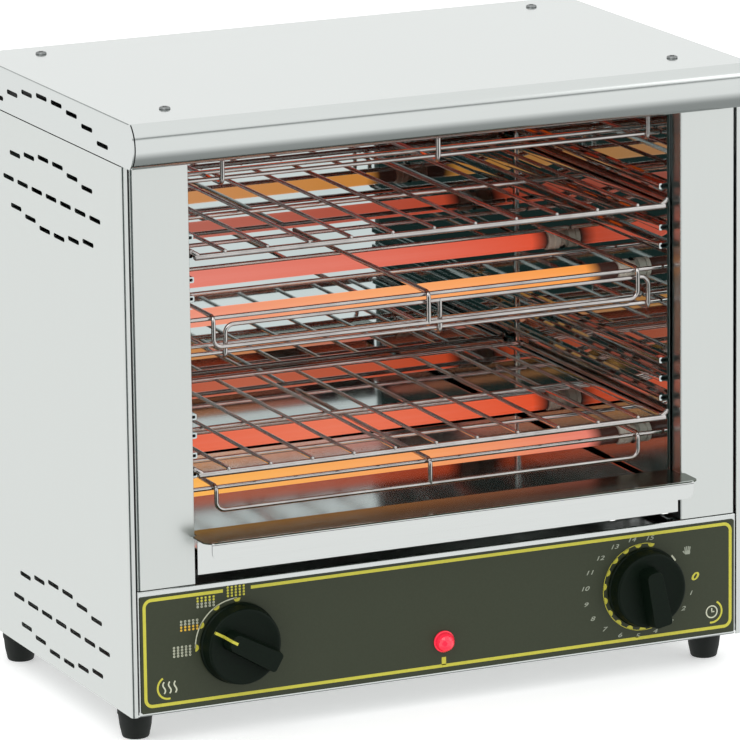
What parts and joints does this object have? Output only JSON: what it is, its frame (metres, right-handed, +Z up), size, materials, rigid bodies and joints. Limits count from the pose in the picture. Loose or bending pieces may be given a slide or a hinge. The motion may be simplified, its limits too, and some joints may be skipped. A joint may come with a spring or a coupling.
{
  "type": "two-level infrared toaster",
  "caption": "Open-front countertop infrared toaster: steel housing, quartz tube heaters behind wire guards, sliding wire racks, crumb tray, selector and timer knobs.",
  "frame": {"origin": "on the table under the centre of the toaster's bounding box", "axes": "+X to the right of a person facing the front, +Y to the back, +Z up"},
  "size_m": [0.45, 0.2956, 0.4226],
  "materials": {
    "housing_steel": "satin brushed stainless steel, pale and even",
    "tray_steel": "bright stainless steel, brighter along the folded lip",
    "liner": "mirror-bright reflector sheet",
    "wire": "bright nickel-chromed wire",
    "screws": "zinc-bright pan-head screws",
    "overlay": "dark olive-grey printed panel film, satin",
    "knobs": "black-green moulded knob, satin",
    "mouldings": "black moulded plastic",
    "lamp": "glossy red lens",
    "feet": "black rubber, matt",
    "quartz": "clear quartz tube lit from inside by its coil",
    "coils": "glowing resistance wire",
    "ceramic": "off-white steatite, matt"
  },
  "bodies": {
    "housing": {"side_panel_left": "housing_steel", "side_panel_right": "housing_steel", "lid": "housing_steel", "rear_panel": "housing_steel", "base_plate": "housing_steel", "front_column_left": "housing_steel", "front_column_right": "housing_steel", "control_fascia": "housing_steel", "control_overlay": "overlay", "lid_screw_front_left": "screws", "foot_front_left": "feet", "lid_screw_front_right": "screws", "foot_front_right": "feet", "lid_screw_rear_left": "screws", "foot_rear_left": "feet", "lid_screw_rear_right": "screws", "foot_rear_right": "feet", "selector_switch": "mouldings", "timer_body": "mouldings", "indicator_lamp": "lamp", "side_liner_left": "liner", "side_liner_right": "liner", "rear_reflector": "liner", "top_reflector": "liner", "cavity_floor": "liner", "quartz_tube_bottom_front": "quartz", "heating_coil_bottom_front": "coils", "ceramic_cap_bottom_front_left": "ceramic", "ceramic_cap_bottom_front_right": "ceramic", "quartz_tube_bottom_rear": "quartz", "heating_coil_bottom_rear": "coils", "ceramic_cap_bottom_rear_left": "ceramic", "ceramic_cap_bottom_rear_right": "ceramic", "quartz_tube_mid_front": "quartz", "heating_coil_mid_front": "coils", "ceramic_cap_mid_front_left": "ceramic", "ceramic_cap_mid_front_right": "ceramic", "quartz_tube_mid_rear": "quartz", "heating_coil_mid_rear": "coils", "ceramic_cap_mid_rear_left": "ceramic", "ceramic_cap_mid_rear_right": "ceramic", "quartz_tube_top_front": "quartz", "heating_coil_top_front": "coils", "ceramic_cap_top_front_left": "ceramic", "ceramic_cap_top_front_right": "ceramic", "quartz_tube_top_rear": "quartz", "heating_coil_top_rear": "coils", "ceramic_cap_top_rear_left": "ceramic", "ceramic_cap_top_rear_right": "ceramic", "guard_over_bottom_tubes": "wire", "guard_over_mid_tubes": "wire", "guard_under_mid_tubes": "wire", "guard_under_top_tubes": "wire", "cable_gland": "mouldings"},
    "selector_knob": {"selector_knob": "knobs"},
    "timer_knob": {"timer_knob": "knobs"},
    "rack_upper": {"toast_rack_upper": "wire"},
    "rack_lower": {"toast_rack_lower": "wire"},
    "crumb_tray": {"crumb_tray": "tray_steel"}
  },
  "joints": [
    {"name": "selector_turn", "type": "hinge", "parent": "housing", "child": "selector_knob", "pos_m": [-0.1495, -0.1375, 0.0638], "axis": [0, 1, 0], "range_deg": [-30, 60]},
    {"name": "timer_turn", "type": "hinge", "parent": "housing", "child": "timer_knob", "pos_m": [0.1495, -0.1375, 0.0638], "axis": [0, 1, 0], "range_deg": [-297, 22.5]},
    {"name": "upper_rack_slide", "type": "slide", "parent": "housing", "child": "rack_upper", "axis": [0, -1, 0], "range_m": [0, 0.2]},
    {"name": "lower_rack_slide", "type": "slide", "parent": "housing", "child": "rack_lower", "axis": [0, -1, 0], "range_m": [0, 0.2]},
    {"name": "crumb_tray_slide", "type": "slide", "parent": "housing", "child": "crumb_tray", "axis": [0, -1, 0], "range_m": [0, 0.22]}
  ]
}
